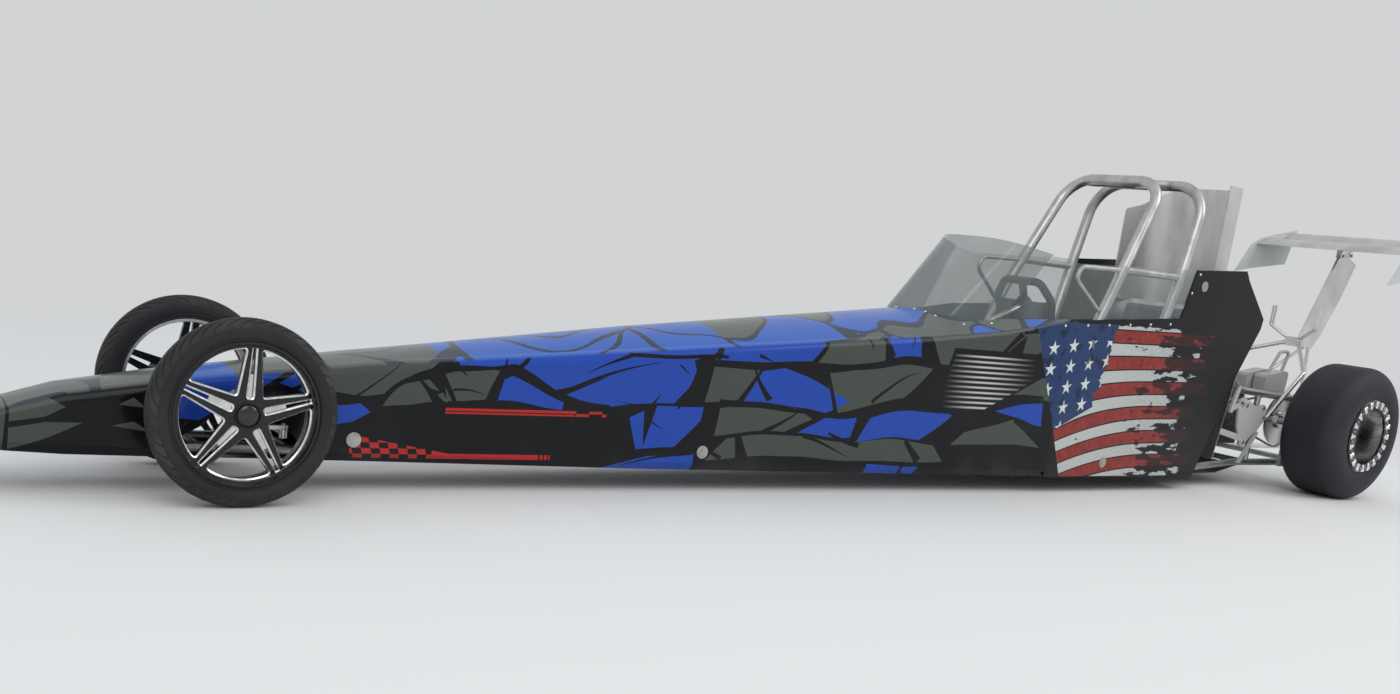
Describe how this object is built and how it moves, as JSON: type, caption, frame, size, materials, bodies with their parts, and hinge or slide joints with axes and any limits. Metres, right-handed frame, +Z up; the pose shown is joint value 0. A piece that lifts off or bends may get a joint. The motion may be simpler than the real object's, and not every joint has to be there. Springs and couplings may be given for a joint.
{
  "type": "junior dragster racing car",
  "caption": "Long, low half-scale dragster: wedge body on a tube frame, open cockpit with roll cage, narrow steered front wheels, wide rear slicks and a wing on a pylon.",
  "frame": {"origin": "on the ground, at mid-length and mid-width", "axes": "+X towards the tail, -Y to the driver's left, +Z up"},
  "size_m": [5.148, 0.9322, 0.9899],
  "materials": {
    "body_paint": "glossy black, royal blue and dark grey-green shard pattern",
    "pan": "satin dark sheet",
    "tinted_glass": "smoked clear plastic sheet",
    "clear_glass": "clear plastic sheet, lightly scratched",
    "frame_tube": "satin steel tube",
    "cage_tube": "bare satin steel tube with grinding marks",
    "sheet_alloy": "bare sheet",
    "seat_shell": "bent sheet",
    "seat_cloth": "black quilted cloth",
    "steering_grip": "moulded grip with metal spokes",
    "steel": "machined steel",
    "front_rim": "gloss black with machined edges",
    "front_tyre": "grooved shoulder, matt sidewall",
    "rear_rim": "polished barrel, black ring with bright clamps",
    "rear_tyre": "worn smooth slick",
    "plate_alloy": "machined plate",
    "engine": "cast block",
    "cover_alloy": "folded sheet",
    "wing_alloy": "bright sheet",
    "small_wheel": "solid tyre on a metal hub"
  },
  "bodies": {
    "chassis": {"nose_cap": "body_paint", "body_top": "body_paint", "side_panel_left": "body_paint", "side_panel_right": "body_paint", "belly_pan": "pan", "engine_tray": "pan", "windscreen": "tinted_glass", "side_glass_left": "clear_glass", "side_glass_right": "clear_glass", "lower_rails": "frame_tube", "upper_rails": "frame_tube", "frame_crossbars": "frame_tube", "front_hoop": "cage_tube", "main_hoop": "cage_tube", "cage_bars": "cage_tube", "head_surround": "sheet_alloy", "firewall": "sheet_alloy", "dash_panel": "sheet_alloy", "seat": "seat_shell", "seat_pad": "seat_cloth", "front_axle": "steel", "drive_chain": "steel", "clutch": "steel", "wheelie_bar": "steel", "bearing_plates": "plate_alloy", "motor_plate": "plate_alloy", "brake_caliper": "plate_alloy", "engine_block": "engine", "engine_cover": "cover_alloy", "fuel_tank": "cover_alloy", "wing_main": "wing_alloy", "wing_flap": "wing_alloy", "wing_end_plates": "wing_alloy", "wing_pylon": "wing_alloy", "wing_stand": "wing_alloy"},
    "steering": {"steering_column": "steel", "steering_wheel": "steering_grip"},
    "knuckle_left": {"knuckle_left": "steel"},
    "knuckle_right": {"knuckle_right": "steel"},
    "tie_rod": {"tie_rod": "steel"},
    "front_wheel_left": {"front_rim_left": "front_rim", "front_tyre_left": "front_tyre"},
    "front_wheel_right": {"front_rim_right": "front_rim", "front_tyre_right": "front_tyre"},
    "rear_axle": {"rear_axle": "steel", "sprocket": "steel", "brake_disc": "steel", "rear_rim_left": "rear_rim", "rear_rim_right": "rear_rim", "rear_tyre_left": "rear_tyre", "rear_tyre_right": "rear_tyre"},
    "wheelie_wheels": {"wheelie_wheels": "small_wheel"}
  },
  "joints": [
    {"name": "steer_left", "type": "hinge", "parent": "chassis", "child": "knuckle_left", "pos_m": [-2.024, -0.152, 0.1875], "axis": [0, 0, 1], "range_deg": [-15, 15]},
    {"name": "steer_right", "type": "hinge", "parent": "chassis", "child": "knuckle_right", "pos_m": [-2.024, 0.152, 0.1875], "axis": [0, 0, 1], "range_deg": [-15, 15]},
    {"name": "tie_rod_swing", "type": "hinge", "parent": "knuckle_left", "child": "tie_rod", "pos_m": [-1.924, -0.152, 0.1375], "axis": [0, 0, 1], "range_deg": [-15, 15]},
    {"name": "steering_wheel_turn", "type": "hinge", "parent": "chassis", "child": "steering", "pos_m": [0.446, 0, 0.545], "axis": [-0.9272, 0, -0.3746], "range_deg": [-60, 60]},
    {"name": "front_wheel_left_spin", "type": "hinge", "parent": "knuckle_left", "child": "front_wheel_left", "pos_m": [-2.024, -0.212, 0.1875], "axis": [0, 1, 0], "continuous": true},
    {"name": "front_wheel_right_spin", "type": "hinge", "parent": "knuckle_right", "child": "front_wheel_right", "pos_m": [-2.024, 0.212, 0.1875], "axis": [0, 1, 0], "continuous": true},
    {"name": "rear_axle_spin", "type": "hinge", "parent": "chassis", "child": "rear_axle", "pos_m": [1.786, 0, 0.231], "axis": [0, 1, 0], "continuous": true},
    {"name": "wheelie_wheels_spin", "type": "hinge", "parent": "chassis", "child": "wheelie_wheels", "pos_m": [2.536, 0, 0.092], "axis": [0, 1, 0], "continuous": true}
  ],
  "couplings": [
    {"joint": "steer_right", "follows": "steer_left", "ratio": 1},
    {"joint": "tie_rod_swing", "follows": "steer_left", "ratio": -1},
    {"joint": "steering_wheel_turn", "follows": "steer_left", "ratio": -4}
  ]
}
